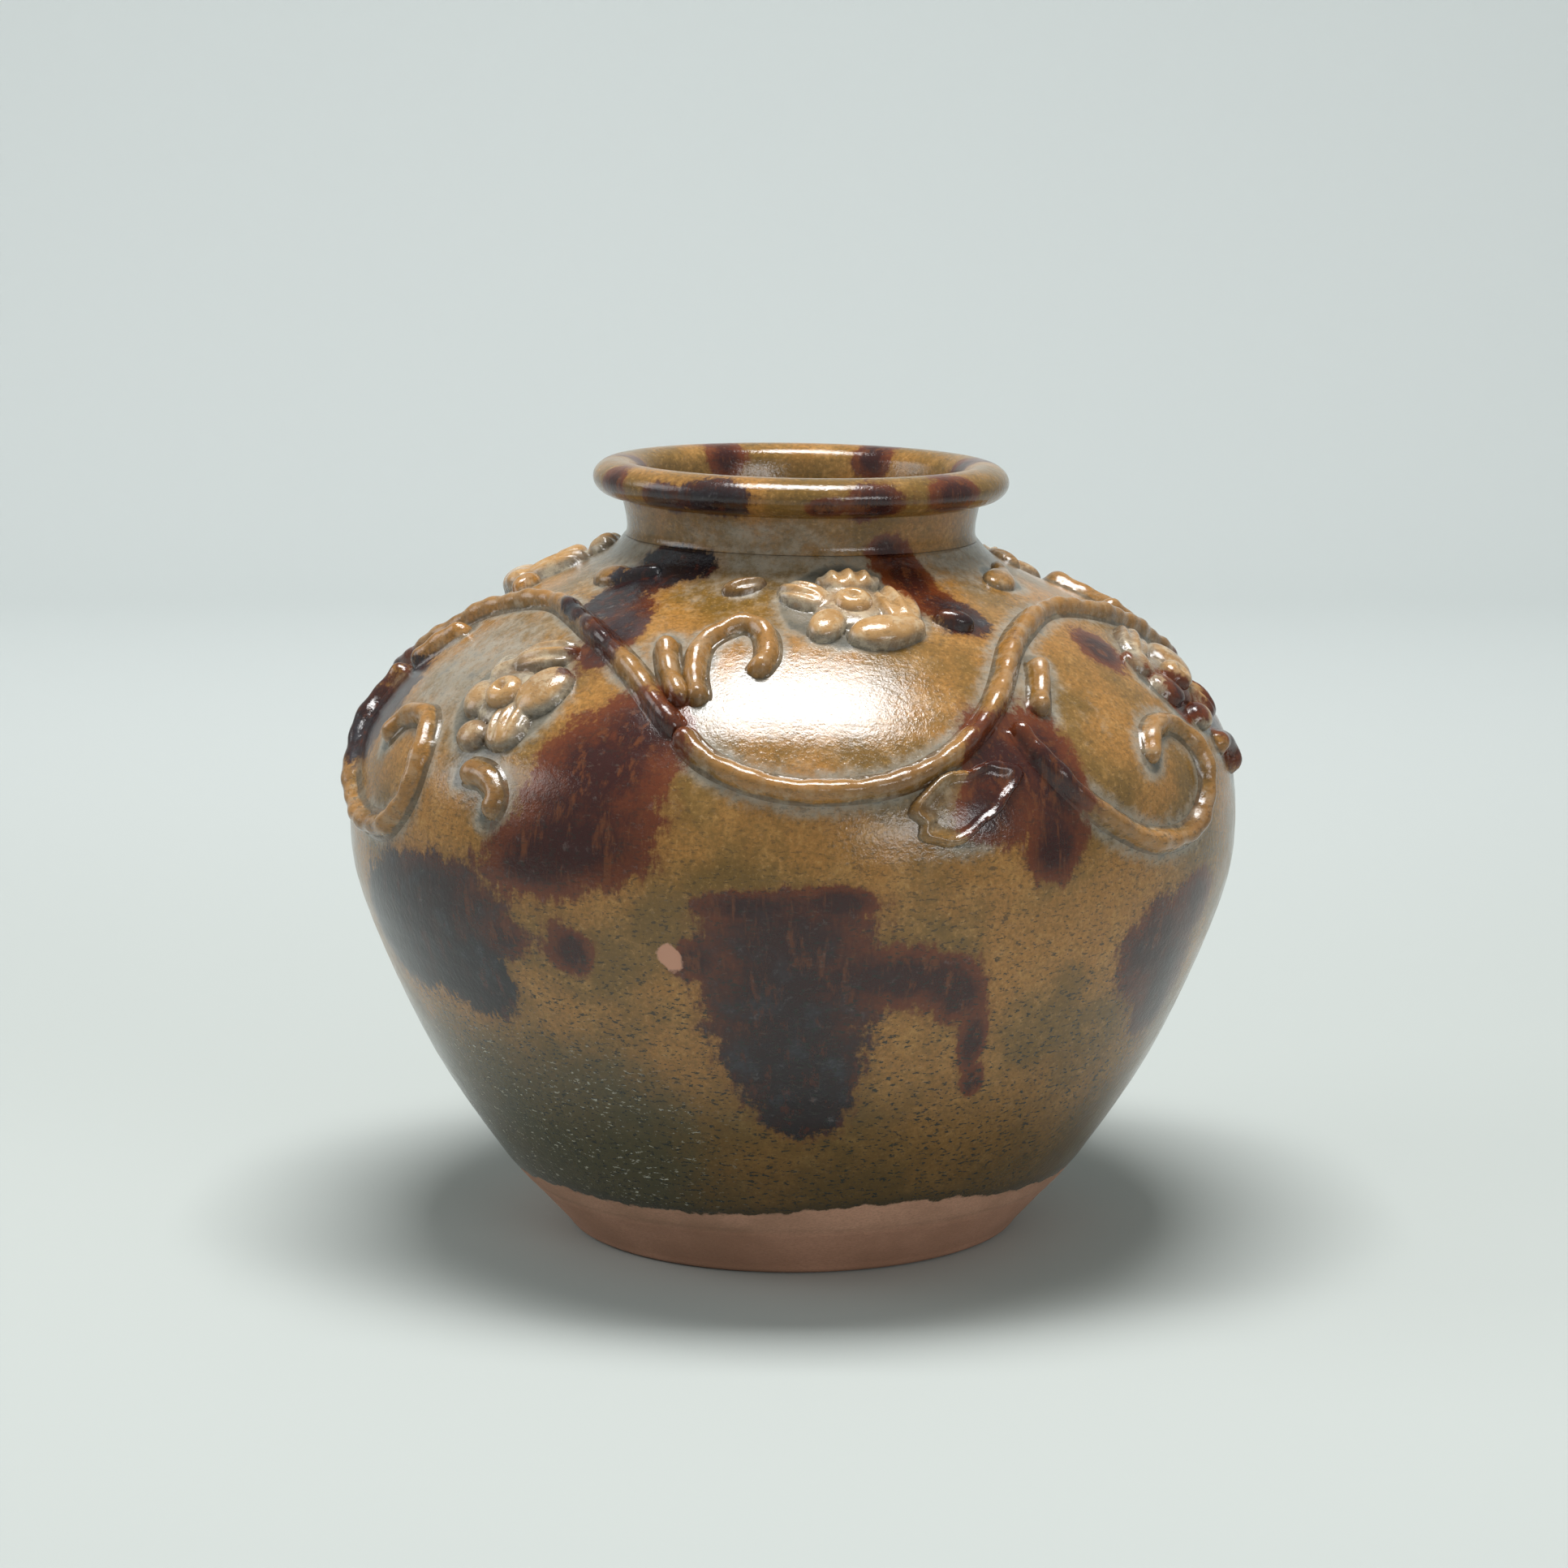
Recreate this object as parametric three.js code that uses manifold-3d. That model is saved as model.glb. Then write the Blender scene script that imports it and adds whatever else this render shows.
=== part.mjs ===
// Stoneware jar with a short neck, a rolled lip and a clay vine scroll luted round its shoulder.
// Units are millimetres, +Z is up, and the origin is the middle of the base.
// Azimuth 0 is the front of the jar (-Y), and azimuth grows towards its right (+X).
import * as THREE from 'three';
import { mergeVertices } from 'three/addons/utils/BufferGeometryUtils.js';
import Module from 'manifold-3d';

const wasm = await Module();
wasm.setup();

// Driving sizes of the thrown vessel
const bellyRadius = 120;
const baseRadius = 60.5;
const seamHeight = 104;
const neckJointHeight = 188;
const neckRadius = 47.6;
const neckHeight = 20.4;
const lipOverhang = 8.2;
const lipHeight = 10;
const bodyWall = 7;
const shoulderWall = 5.5;
const neckWall = 5.6;
const floorThickness = 9;
const lutingGap = 0.3;

// The neck was set a little to the right, and the lip dips that way
const neckShift = 2.3;
const lipTilt = 0.018;
const leanStart = 110;

const lipRadius = neckRadius + lipOverhang;
const totalHeight = neckJointHeight + neckHeight;

// Sizes of the relief
const sprayCount = 3;
const vineWidth = 6;
const vineRise = 4.2;
const branchWidth = 6;
const branchRise = 4;
const flowerRise = 4.6;
const pelletRadius = 3.6;
const leafRise = 3;

const roundSides = 48;
const degree = Math.PI / 180;

// Radii between the base and the belly and between the neck and the belly, and heights on the shoulder
const flare = (share) => baseRadius + share * (bellyRadius - baseRadius);
const taper = (share) => neckRadius + share * (bellyRadius - neckRadius);
const onShoulder = (share) => seamHeight + share * (neckJointHeight - seamHeight);

// Outside of the vessel as radius and height, from the base to the neck joint
const outline = new THREE.SplineCurve([
  [baseRadius, 0],
  [flare(0.1529), 10],
  [flare(0.3284), 22],
  [flare(0.6531), seamHeight * 0.5],
  [flare(0.9314), seamHeight * 0.865],
  [bellyRadius, onShoulder(0.0952)],
  [taper(0.9586), onShoulder(0.3571)],
  [taper(0.8309), onShoulder(0.5238)],
  [taper(0.6453), onShoulder(0.6667)],
  [taper(0.4464), onShoulder(0.7857)],
  [taper(0.2279), onShoulder(0.869)],
  [taper(0.0691), onShoulder(0.9405)],
  [neckRadius, neckJointHeight],
].map(([radius, height]) => new THREE.Vector2(radius, height)));

function outlineAt(height) {
  let low = 0;
  let high = 1;
  for (let step = 0; step < 40; step += 1) {
    const middle = (low + high) / 2;
    if (outline.getPoint(middle).y < height) low = middle;
    else high = middle;
  }
  const point = outline.getPoint(low);
  const slope = outline.getTangent(low);
  return { radius: point.x, height, slope };
}

// Moves a point of the round vessel to where the leaning one has it
function lean(point) {
  const share = THREE.MathUtils.smoothstep(point.z, leanStart, neckJointHeight);
  return new THREE.Vector3(
    point.x + neckShift * share,
    point.y,
    point.z - lipTilt * point.x * share,
  );
}

// A point on the outside of the vessel, lifted off it by rise
function onSurface(azimuth, height, rise) {
  const { radius, slope } = outlineAt(height);
  const out = radius + rise * slope.y;
  return lean(new THREE.Vector3(
    out * Math.sin(azimuth * degree),
    -out * Math.cos(azimuth * degree),
    height - rise * slope.x,
  ));
}

// Moves across and up by millimetres along the surface
function shiftOnSurface(azimuth, height, across, up, rise) {
  const { slope } = outlineAt(height);
  const newHeight = Math.min(height + up * slope.y, neckJointHeight);
  const { radius } = outlineAt(newHeight);
  return onSurface(azimuth + across / radius / degree, newHeight, rise);
}

function closedGeometry(points, faces) {
  const geometry = new THREE.BufferGeometry();
  const numbers = points.flatMap((point) => point.toArray());
  geometry.setAttribute('position', new THREE.Float32BufferAttribute(numbers, 3));
  geometry.setIndex(faces.flat());
  return geometry;
}

function toManifold(geometry) {
  return new wasm.Manifold(new wasm.Mesh({
    numProp: 3,
    vertProperties: geometry.attributes.position.array,
    triVerts: new Uint32Array(geometry.index.array),
  }));
}

function toGeometry(solid) {
  const mesh = solid.getMesh();
  const geometry = new THREE.BufferGeometry();
  geometry.setAttribute('position', new THREE.Float32BufferAttribute(mesh.vertProperties, mesh.numProp));
  geometry.setIndex(Array.from(mesh.triVerts));
  return geometry;
}

// A turned section of the vessel, from a closed profile of radius and height
function turned(profile) {
  const closed = [...profile, profile[0]].map(([radius, height]) => new THREE.Vector2(radius, height));
  let geometry = new THREE.LatheGeometry(closed, roundSides);
  geometry.deleteAttribute('normal');
  geometry.deleteAttribute('uv');
  geometry.rotateX(Math.PI / 2);
  geometry = mergeVertices(geometry, 1e-4);
  const position = geometry.attributes.position;
  for (let i = 0; i < position.count; i += 1) {
    const moved = lean(new THREE.Vector3().fromBufferAttribute(position, i));
    position.setXYZ(i, moved.x, moved.y, moved.z);
  }
  return geometry;
}

const outsideAt = (height) => [outlineAt(height).radius, height];

function insideAt(height, wall) {
  const { radius, slope } = outlineAt(height);
  return [radius - wall * slope.y, height + wall * slope.x];
}

function between(low, high, count) {
  return Array.from({ length: count }, (_, i) => low + (high - low) * (i + 1) / (count + 1));
}

function lowerBody() {
  const outer = between(10, seamHeight, 6);
  const inner = between(floorThickness + 9, seamHeight, 5);
  const floorEdge = insideAt(floorThickness + 9, bodyWall)[0];
  return turned([
    [0, 0],
    [baseRadius, 0],
    outsideAt(10),
    ...outer.map(outsideAt),
    outsideAt(seamHeight),
    [outlineAt(seamHeight).radius - bodyWall, seamHeight],
    ...inner.reverse().map((height) => insideAt(height, bodyWall)),
    [floorEdge - 8, floorThickness],
    [0, floorThickness],
  ]);
}

// Heights of the shoulder's turned rings, closer together where it curves in to the neck
const shoulderStart = seamHeight + lutingGap;
const shoulderRings = [0.09, 0.24, 0.38, 0.51, 0.62, 0.71, 0.8, 0.87, 0.93].map((share) => (
  shoulderStart + share * (neckJointHeight - shoulderStart)
));

function shoulder() {
  const inner = shoulderRings.filter((_, i) => i % 2 === 0 || i > 5);
  return turned([
    outsideAt(shoulderStart),
    ...shoulderRings.map(outsideAt),
    [neckRadius, neckJointHeight],
    [neckRadius - neckWall, neckJointHeight],
    ...inner.reverse().map((height) => insideAt(height, shoulderWall)),
    [outlineAt(shoulderStart).radius - bodyWall, shoulderStart],
  ]);
}

// The shoulder's outside grown by the luting gap, filled to the axis: what each applied piece sits on
function seat() {
  return turned([
    [0, shoulderStart],
    [outlineAt(shoulderStart).radius + lutingGap, shoulderStart],
    ...shoulderRings.map((height) => insideAt(height, -lutingGap)),
    [neckRadius + lutingGap, neckJointHeight],
    [neckRadius + lutingGap, totalHeight],
    [0, totalHeight],
  ]);
}

function neckAndLip() {
  const start = neckJointHeight + lutingGap;
  const lipBottom = totalHeight - lipHeight;
  const bore = neckRadius - neckWall;
  const lipMiddle = (lipRadius + bore + 0.7) / 2;
  const roll = [];
  for (let angle = -50; angle <= 170; angle += 27.5) {
    roll.push([
      lipMiddle + (lipRadius - lipMiddle) * Math.cos(angle * degree),
      lipBottom + lipHeight / 2 * (1 + Math.sin(angle * degree)),
    ]);
  }
  return turned([
    [neckRadius, start],
    [neckRadius, lipBottom - 1],
    ...roll,
    [bore, lipBottom],
    [bore, start],
  ]);
}

// How far an applied piece is made into the shoulder before its back is cut to fit
const sink = 0.8;

// A rolled coil of clay pressed on along a path of azimuth and height
function coil(path, width, rise, grow = 0) {
  const stretch = 1.6;
  const curve = new THREE.CatmullRomCurve3(path.map(([a, h]) => new THREE.Vector3(a * stretch, h, 0)));
  const steps = Math.max(6, Math.round(curve.getLength() / 6));
  const points = [];
  const faces = [];
  for (let i = 0; i <= steps; i += 1) {
    const share = i / steps;
    const here = curve.getPointAt(share);
    const tangent = curve.getTangentAt(share);
    const azimuth = here.x / stretch;
    const { radius, slope } = outlineAt(here.y);
    const along = new THREE.Vector2(
      tangent.x / stretch * degree * radius,
      tangent.y / Math.max(slope.y, 0.2),
    ).normalize();
    const end = Math.min(1, 0.45 + 4 * Math.min(share, 1 - share));
    const half = width / 2 * end + grow;
    const top = rise * (0.4 + 0.6 * end) + grow;
    const foot = -sink;
    const push = i === 0 ? -grow : (i === steps ? grow : 0);
    const brow = top * 0.88;
    const cheek = top * 0.45;
    const section = [[1, foot], [1, cheek], [0.55, brow], [-0.55, brow], [-1, cheek], [-1, foot]];
    section.forEach(([side, height]) => {
      const across = along.y * side * half + along.x * push;
      const up = -along.x * side * half + along.y * push;
      points.push(shiftOnSurface(azimuth, here.y, across, up, height));
    });
  }
  const ring = 6;
  for (let i = 0; i < steps; i += 1) {
    for (let j = 0; j < ring; j += 1) {
      const a = i * ring + j;
      const b = i * ring + (j + 1) % ring;
      faces.push([a, b + ring, b], [a, a + ring, b + ring]);
    }
  }
  for (let j = 1; j < ring - 1; j += 1) {
    faces.push([0, j, j + 1], [steps * ring, steps * ring + j + 1, steps * ring + j]);
  }
  return closedGeometry(points, faces);
}

// A pad of clay pressed on: a dome on an oval or lobed outline, turned in the surface.
// crown lists the top's height from the middle to the edge, as shares of rise.
function pad(shape, grow = 0) {
  const { at, length, width, turn = 0, rise, lobes = 0, depth = 0, crown, foot = 0, sides = 16 } = shape;
  const points = [];
  const faces = [];
  const rings = crown.length - 1;
  const place = (share, angle, height) => {
    const oval = 1 / Math.hypot(Math.cos(angle) / (length / 2), Math.sin(angle) / (width / 2));
    const reach = (oval * (1 + depth * Math.cos(lobes * angle)) + grow) * share;
    const across = reach * Math.cos(angle + turn * degree);
    const up = reach * Math.sin(angle + turn * degree);
    return shiftOnSurface(at[0], at[1], across, up, height);
  };
  const bottom = foot > 0 ? foot - grow : -sink;
  points.push(place(0, 0, foot + rise * crown[0] + grow));
  for (let k = 1; k <= rings; k += 1) {
    for (let j = 0; j < sides; j += 1) {
      points.push(place(k / rings, 2 * Math.PI * j / sides, foot + rise * crown[k] + grow));
    }
  }
  for (let k = 2; k >= 1; k -= 1) {
    for (let j = 0; j < sides; j += 1) points.push(place(k / 2, 2 * Math.PI * j / sides, bottom));
  }
  points.push(place(0, 0, bottom));
  const levels = rings + 2;
  for (let j = 0; j < sides; j += 1) {
    const next = (j + 1) % sides;
    faces.push([0, 1 + j, 1 + next]);
    for (let k = 0; k < levels - 1; k += 1) {
      const a = 1 + k * sides + j;
      const b = 1 + k * sides + next;
      faces.push([a, a + sides, b + sides], [a, b + sides, b]);
    }
    faces.push([1 + (levels - 1) * sides + j, points.length - 1, 1 + (levels - 1) * sides + next]);
  }
  return closedGeometry(points, faces);
}

const dome = [1, 0.94, 0.72, 0.3];
const dish = [0.55, 0.55, 1, 0.3];
const bead = [0.8, 1, 0.45];

// Where each spray has its two flowers, as azimuth and height
const upperFlowerAt = [11.5, 176.5];
const lowerFlowerAt = [74, 153.5];

// The pieces of one spray, in azimuth from the spray's start and height.
// A piece listed later is trimmed round the ones before it.
const sprayPieces = {
  main_vine: {
    coil: [[-16, 150], [-11, 144], [-4, 139.5], [3, 138], [12, 139.5], [20, 145], [28, 154], [38, 166],
      [48, 171], [60, 173], [72, 171.5], [84, 167.5], [93, 162], [99, 156], [103.7, 150.3]],
    width: vineWidth,
    rise: vineRise,
  },
  upper_flower: { pad: { at: upperFlowerAt, length: 36, width: 33, lobes: 5, depth: 0.13, turn: 70,
    rise: flowerRise, crown: dish, sides: 20 } },
  upper_flower_bead: { pad: { at: upperFlowerAt, length: 2 * pelletRadius, width: 2 * pelletRadius,
    rise: 2.6, crown: bead, foot: flowerRise * dish[0] + lutingGap, sides: 12 } },
  lower_flower: { pad: { at: lowerFlowerAt, length: 38, width: 28, lobes: 5, depth: 0.13, turn: 80,
    rise: flowerRise, crown: dish, sides: 20 } },
  lower_flower_bead: { pad: { at: lowerFlowerAt, length: 2 * pelletRadius, width: 2 * pelletRadius,
    rise: 2.6, crown: bead, foot: flowerRise * dish[0] + lutingGap, sides: 12 } },
  hook_branch: {
    coil: [[-14.5, 156.5], [-16.8, 163], [-17, 169], [-12, 172.5], [-7, 171.5], [-5.5, 167], [-7, 163]],
    width: branchWidth,
    rise: branchRise,
  },
  free_stem: { coil: [[-24, 168.5], [-20.5, 162], [-17, 156.5]], width: vineWidth, rise: vineRise },
  curl_branch: {
    coil: [[31, 151], [33, 143], [37, 134], [43, 125], [50, 119], [58, 119], [63, 126],
      [64.5, 134], [63.5, 141], [60, 146], [55, 145], [52, 139]],
    width: branchWidth,
    rise: branchRise,
  },
  cut_stem: { coil: [[42, 163.5], [39, 158.5], [36, 153]], width: vineWidth, rise: vineRise },
  seed_pod: { pad: { at: [32, 173], length: 11, width: 6, turn: -35, rise: 3.8, crown: dome } },
  broad_leaf: { pad: { at: [21, 134.5], length: 33, width: 17, turn: 25, rise: leafRise,
    lobes: 3, depth: 0.12, crown: dome, sides: 18 } },
  comma_leaf: { coil: [[74, 137], [78, 136.5], [80.5, 132.5], [80, 127.5]], width: 5.5, rise: leafRise },
  flame_leaf: { pad: { at: [66, 180], length: 20, width: 9, turn: 12, rise: leafRise, crown: dome } },
  small_leaf: { pad: { at: [-15, 180.5], length: 12, width: 6, turn: 30, rise: leafRise, crown: dome } },
};

// Heights in the scroll were drawn for a shoulder of this height above this seam
const drawnSeam = 104;
const drawnShoulder = 84;
const drawnAt = (height) => onShoulder((height - drawnSeam) / drawnShoulder);

function turnedPiece(shape, azimuth, grow) {
  if (shape.coil) {
    return coil(shape.coil.map(([a, h]) => [a + azimuth, drawnAt(h)]), shape.width, shape.rise, grow);
  }
  return pad({ ...shape.pad, at: [shape.pad.at[0] + azimuth, drawnAt(shape.pad.at[1])] }, grow);
}

const clay = (color, roughness) => new THREE.MeshStandardMaterial({ color, roughness, metalness: 0 });
const glaze = clay(0x8f6a3a, 0.2);
const paleGlaze = clay(0xa77a3e, 0.2);
const leafGlaze = clay(0x6f4a2c, 0.25);

const jar = new THREE.Group();

function addPiece(name, geometry, material) {
  const mesh = new THREE.Mesh(geometry, material);
  mesh.name = name;
  jar.add(mesh);
}

// Largest of the bodies that a trimmed piece is left in
function largestBody(solid) {
  return solid.decompose().reduce((best, body) => (body.volume() > best.volume() ? body : best));
}

function addRelief() {
  const placed = [];
  const jarSeat = toManifold(seat());
  ['front', 'right', 'left'].slice(0, sprayCount).forEach((side, i) => {
    const azimuth = i * 360 / sprayCount;
    Object.entries(sprayPieces).forEach(([kind, shape]) => {
      let solid = toManifold(turnedPiece(shape, azimuth, 0)).subtract(jarSeat);
      placed.filter((other) => !kind.startsWith(other.kind)).forEach((other) => {
        solid = solid.subtract(other.grown);
      });
      placed.push({ kind, grown: toManifold(turnedPiece(shape, azimuth, lutingGap)) });
      const material = kind.includes('leaf') ? leafGlaze : paleGlaze;
      addPiece(`${side}_${kind}`, toGeometry(largestBody(solid)), material);
    });
  });
}

addPiece('lower_body', lowerBody(), clay(0x7d5f3c, 0.3));
addPiece('shoulder', shoulder(), glaze);
addPiece('neck_and_lip', neckAndLip(), glaze);
addRelief();

export default jar;
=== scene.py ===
import bpy
import math
import numpy as np
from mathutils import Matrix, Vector


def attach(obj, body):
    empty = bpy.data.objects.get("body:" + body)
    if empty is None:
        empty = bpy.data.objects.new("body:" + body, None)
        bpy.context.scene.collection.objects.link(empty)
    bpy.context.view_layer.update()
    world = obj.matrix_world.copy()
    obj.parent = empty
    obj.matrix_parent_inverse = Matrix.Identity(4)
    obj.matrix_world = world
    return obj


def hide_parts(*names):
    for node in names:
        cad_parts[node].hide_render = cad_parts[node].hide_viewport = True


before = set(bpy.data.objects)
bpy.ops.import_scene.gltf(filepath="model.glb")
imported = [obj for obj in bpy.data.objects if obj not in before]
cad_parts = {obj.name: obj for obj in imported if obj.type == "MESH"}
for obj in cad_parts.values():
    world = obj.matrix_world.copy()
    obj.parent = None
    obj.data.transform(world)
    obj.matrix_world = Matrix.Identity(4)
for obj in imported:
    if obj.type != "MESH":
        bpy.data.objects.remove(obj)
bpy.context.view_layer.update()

scene = bpy.context.scene
scene.view_settings.view_transform = "Standard"

# Lower body: the thrown lower half of the jar, with its flat floor and unglazed foot. It is
# reddish stoneware, turned on the wheel and dipped upside down in ash glaze, so the clay
# stays bare below a wavy edge. Sizes are in millimetres, and every mesh is scaled to metres.
MM = 0.001
BELLY = 120
BASE = 60.5
SEAM = 104
NECK_JOINT = 188
NECK = 47.6
BODY_WALL = 7
FLOOR = 9
LUTING = 0.15
GLAZE_EDGE = 21
GLAZE_THICKNESS = 0.3
GROOVE_HEIGHT = 14.6
GROOVE_DEPTH = 0.35
NECK_SHIFT = 2.3
LIP_TILT = 0.018
LEAN_START = 110
ROW_STEP = 1.05
BODY_SIDES = 600
SPAN_POINTS = 60


def between(low, high, share):
    return low + share * (high - low)


# One line runs through all three thrown sections, from the base to the neck joint
OUTLINE = np.array([
    (BASE, 0),
    (between(BASE, BELLY, 0.1529), 10),
    (between(BASE, BELLY, 0.3284), 22),
    (between(BASE, BELLY, 0.6531), SEAM * 0.5),
    (between(BASE, BELLY, 0.9314), SEAM * 0.865),
    (BELLY, between(SEAM, NECK_JOINT, 0.0952)),
    (between(NECK, BELLY, 0.9586), between(SEAM, NECK_JOINT, 0.3571)),
    (between(NECK, BELLY, 0.8309), between(SEAM, NECK_JOINT, 0.5238)),
    (between(NECK, BELLY, 0.6453), between(SEAM, NECK_JOINT, 0.6667)),
    (between(NECK, BELLY, 0.4464), between(SEAM, NECK_JOINT, 0.7857)),
    (between(NECK, BELLY, 0.2279), between(SEAM, NECK_JOINT, 0.869)),
    (between(NECK, BELLY, 0.0691), between(SEAM, NECK_JOINT, 0.9405)),
    (NECK, NECK_JOINT),
])


def outline_samples():
    """Points close together along a smooth curve through OUTLINE."""
    padded = np.vstack([OUTLINE[:1], OUTLINE, OUTLINE[-1:]])
    share = np.linspace(0, 1, SPAN_POINTS, endpoint=False)[:, None]
    spans = []
    for before, start, stop, after in zip(padded, padded[1:], padded[2:], padded[3:]):
        leave, arrive = (stop - before) / 2, (after - start) / 2
        spans.append(
            (2 * start - 2 * stop + leave + arrive) * share ** 3
            + (-3 * start + 3 * stop - 2 * leave - arrive) * share ** 2
            + leave * share + start
        )
    return np.vstack(spans + [OUTLINE[-1:]])


SAMPLES = outline_samples()
ARC = np.concatenate([[0], np.cumsum(np.hypot(*np.diff(SAMPLES, axis=0).T))])
SLOPES = np.gradient(SAMPLES, ARC, axis=0)


def at_height(height):
    """Radius, and the outline's unit direction (outward, upward), at these heights."""
    radius = np.interp(height, SAMPLES[:, 1], SAMPLES[:, 0])
    out = np.interp(height, SAMPLES[:, 1], SLOPES[:, 0])
    up = np.interp(height, SAMPLES[:, 1], SLOPES[:, 1])
    size = np.hypot(out, up)
    return radius, out / size, up / size


def outside(low, high):
    """Rows of radius and height along the outline between two heights."""
    start, stop = np.interp([low, high], SAMPLES[:, 1], ARC)
    marks = np.linspace(start, stop, max(2, int((stop - start) / ROW_STEP)))
    return np.stack([np.interp(marks, ARC, SAMPLES[:, i]) for i in (0, 1)], -1)


def inside(heights, wall):
    """Rows of radius and height one wall inside the outline."""
    radius, out, up = at_height(heights)
    return np.stack([radius - wall * up, heights + wall * out], -1)


def lean(points):
    """Moves points of the round vessel to where the leaning neck has them."""
    share = np.clip((points[..., 2] - LEAN_START) / (NECK_JOINT - LEAN_START), 0, 1)
    share = share * share * (3 - 2 * share)
    moved = points.copy()
    moved[..., 0] += NECK_SHIFT * share
    moved[..., 2] -= LIP_TILT * points[..., 0] * share
    return moved


def around(radius, azimuth, height):
    """Points at a radius, an azimuth in degrees and a height, with azimuth 0 at the front."""
    angle = np.radians(azimuth)
    return np.stack([radius * np.sin(angle), -radius * np.cos(angle), height + 0 * angle], -1)


def azimuth_of(points):
    return np.degrees(np.arctan2(points[..., 0], -points[..., 1]))


def glaze_edge(azimuth):
    """Height of the wavy lower edge of the glaze."""
    slow, quick = np.sin(np.radians(azimuth * 2 + 60)), np.sin(np.radians(azimuth * 5))
    return GLAZE_EDGE + 1.6 * slow + 1.0 * quick


def turning_lines(azimuth, height):
    """Throwing rings, a slow sway, the groove cut above the foot, and the glaze's own thickness."""
    coarse = np.sin(height * 0.9 + 0.6 * np.sin(np.radians(azimuth)))
    rings = 0.016 * coarse + 0.008 * np.sin(height * 2.3 + 1)
    sway = 0.25 * np.sin(np.radians(azimuth * 2 + 40)) * np.sin(height / 60)
    groove = -GROOVE_DEPTH * np.exp(-((height - GROOVE_HEIGHT) / 0.5) ** 2)
    over_edge = 1 + np.exp(-(height - glaze_edge(azimuth)) / 0.5)
    glaze_step = GLAZE_THICKNESS / over_edge - GLAZE_THICKNESS
    return (rings + sway + glaze_step) * (height > 2) + groove


def lattice_faces(rows, columns, wrap=False):
    """Quads over a grid of points, joined round if wrap is true."""
    last = columns if wrap else columns - 1
    return [
        (i * columns + j, i * columns + (j + 1) % columns,
         (i + 1) * columns + (j + 1) % columns, (i + 1) * columns + j)
        for i in range(rows - 1) for j in range(last)
    ]


def turned_skin(profile, sides):
    """Points and faces of a closed turned section, from its profile of radius and height."""
    profile = np.array(profile, float)
    on_axis = profile[:, 0] < 1e-6
    azimuth = np.arange(sides) * 360 / sides
    ripple = turning_lines(azimuth[None], profile[:, 1:]) * (~on_axis)[:, None]
    rings = around(profile[:, :1] + ripple, azimuth[None] + 0 * ripple, profile[:, 1:])
    points = lean(rings).reshape(-1, 3)
    last = (len(profile) - 1) * sides
    faces = lattice_faces(len(profile), sides, wrap=True)
    if on_axis.any():
        faces = [face for face in faces if min(face) >= sides and max(face) < last]
        faces += [(0, sides + (j + 1) % sides, sides + j) for j in range(sides)]
        faces += [(last, last - sides + j, last - sides + (j + 1) % sides) for j in range(sides)]
    else:
        faces += [(last + j, last + (j + 1) % sides, (j + 1) % sides, j) for j in range(sides)]
    return points, faces


# Where iron and cobalt brown was splashed on before firing: azimuth, height, half width in
# degrees, half height, and how dark it is from red-brown at 0 to blue-black at 1. Splashes
# that touch run together in this order.
SPLASHES = [
    # Left front, under the lower flower
    (-25, 141, 11, 16, 0.25), (-27, 124, 12, 14, 0.4), (-20, 152, 7, 9, 0.3), (-33, 117, 7, 9, 0.35),
    (-50, 104, 14, 14, 0.7), (-60, 92, 13, 18, 1.0), (-45, 84, 8, 13, 1.0), (-38, 97, 4, 5, 0.5),
    (-28, 96, 4, 7.5, 0.45),
    # Middle front, with an arm that ran down on its right
    (-5, 110, 8, 5, 0.5), (5, 111, 7, 5, 0.35), (-1, 90, 12, 19, 0.65), (0, 102, 10, 9, 0.5),
    (0, 70, 11, 20, 0.8), (2, 55, 6, 10, 0.9), (10, 91, 8, 8, 0.45), (16, 91, 7, 8, 0.3),
    (21, 86, 4.5, 10, 0.3), (24.5, 72, 2.4, 11, 0.35), (26, 60, 2, 5, 0.4), (-12, 96, 3, 5, 0.3),
    # Right front, behind the broad leaf and beside the upper flower, and the left side
    (27, 143, 6, 13, 0.3), (34, 139, 6, 17, 0.25), (33, 121, 5, 10, 0.3), (24, 131, 5, 8, 0.3),
    (53, 90, 8, 16, 0.55), (60, 78, 7, 18, 0.65), (62, 100, 6, 9, 0.45), (-80, 144, 9, 15, 0.8),
    (-45, 178, 8, 6, 0.8), (-35, 170, 6, 9, 0.6), (33, 182, 9, 7, 0.35), (31, 189, 9, 5, 0.35),
    (36, 174, 7, 5, 0.75), (62, 163, 6, 6, 0.35), (70, 150, 4, 8, 0.35),
    # Sides and back
    (80, 140, 6, 14, 0.4), (100, 135, 14, 22, 0.4), (128, 95, 13, 22, 0.8), (150, 150, 11, 16, 0.4),
    (170, 80, 8, 14, 0.6), (174, 68, 3, 12, 0.6), (163, 88, 7, 6, 0.5), (185, 128, 12, 18, 0.35),
    (206, 96, 9, 12, 0.9), (201, 84, 4, 12, 0.8), (213, 101, 7, 6, 0.6), (210, 78, 2.5, 9, 0.7),
    (228, 140, 11, 16, 0.4), (248, 90, 14, 20, 0.85), (262, 150, 9, 15, 0.35), (110, 62, 6, 14, 0.5),
    (215, 60, 6, 11, 0.6), (143, 182, 12, 7, 0.5), (200, 180, 12, 7, 0.5),
    # Neck and lip
    (-22, 203, 13, 6, 0.75), (-40, 202, 8, 5, 0.6), (8, 201, 6, 3, 0.3), (22, 202, 10, 6, 0.6),
    (48, 203, 11, 6, 0.4), (-62, 204, 8, 6, 0.4), (-38, 185, 17, 5, 0.95), (150, 205, 9, 7, 0.5),
    (206, 205, 10, 7, 0.4), (100, 204, 10, 6, 0.5), (262, 204, 10, 6, 0.5),
]


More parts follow.
